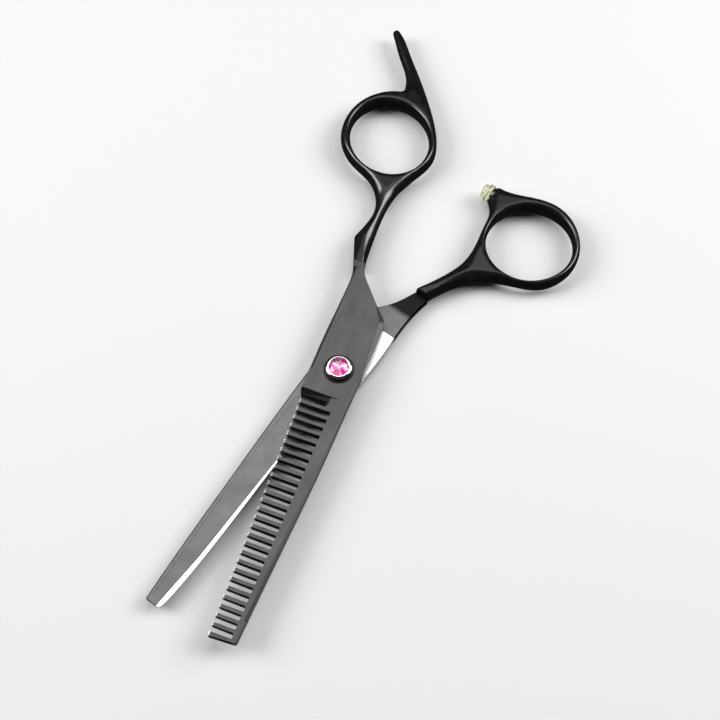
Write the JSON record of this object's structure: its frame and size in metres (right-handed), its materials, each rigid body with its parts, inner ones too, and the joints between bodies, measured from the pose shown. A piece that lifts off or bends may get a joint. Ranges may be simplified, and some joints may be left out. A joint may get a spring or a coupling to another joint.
{
  "type": "hair thinning shears",
  "caption": "Hairdresser's thinning shears: toothed comb blade over a plain blade, two finger rings, curved finger rest, bumper and jewelled tension screw.",
  "frame": {"origin": "on the pivot axis, in the outer face of the pivot nut, which is the plane the shears lie on", "axes": "+Z along the pivot axis towards the jewelled screw head, +Y from the pivot towards the handles, so the comb blade points along -Y, and +X to the right of that with the screw head facing the viewer"},
  "size_m": [0.0708, 0.1733, 0.0081],
  "materials": {
    "comb_coating": "dark grey satin coating on ground steel",
    "ground_steel": "cross-brushed ride face with a bright honed edge",
    "handle_coating": "gloss black coating",
    "screw_chrome": "polished",
    "jewel_crystal": "faceted pink crystal",
    "nut_steel": "turned dark steel",
    "bushing_bronze": "sintered bronze",
    "spring_steel": "plain",
    "washer_nylon": "black nylon",
    "bumper_clear": "translucent, slightly yellow"
  },
  "bodies": {
    "comb_half": {"comb_blade": "comb_coating", "comb_handle": "handle_coating", "pivot_bushing": "bushing_bronze", "head_washer": "washer_nylon"},
    "plain_half": {"plain_blade": "ground_steel", "plain_handle": "handle_coating", "pivot_nut": "nut_steel", "thrust_washer": "washer_nylon", "bumper": "bumper_clear"},
    "tension_screw": {"pivot_screw": "screw_chrome", "pivot_jewel": "jewel_crystal", "spring_washer": "spring_steel"}
  },
  "joints": [
    {"name": "pivot", "type": "hinge", "parent": "comb_half", "child": "plain_half", "pos_m": [0, 0, 0.0032], "axis": [0, 0, -1], "range_deg": [-13.4, 105]},
    {"name": "tension_adjust", "type": "hinge", "parent": "plain_half", "child": "tension_screw", "pos_m": [0, 0, 0.0062], "axis": [0, 0, 1], "range_deg": [-45, 45]}
  ]
}
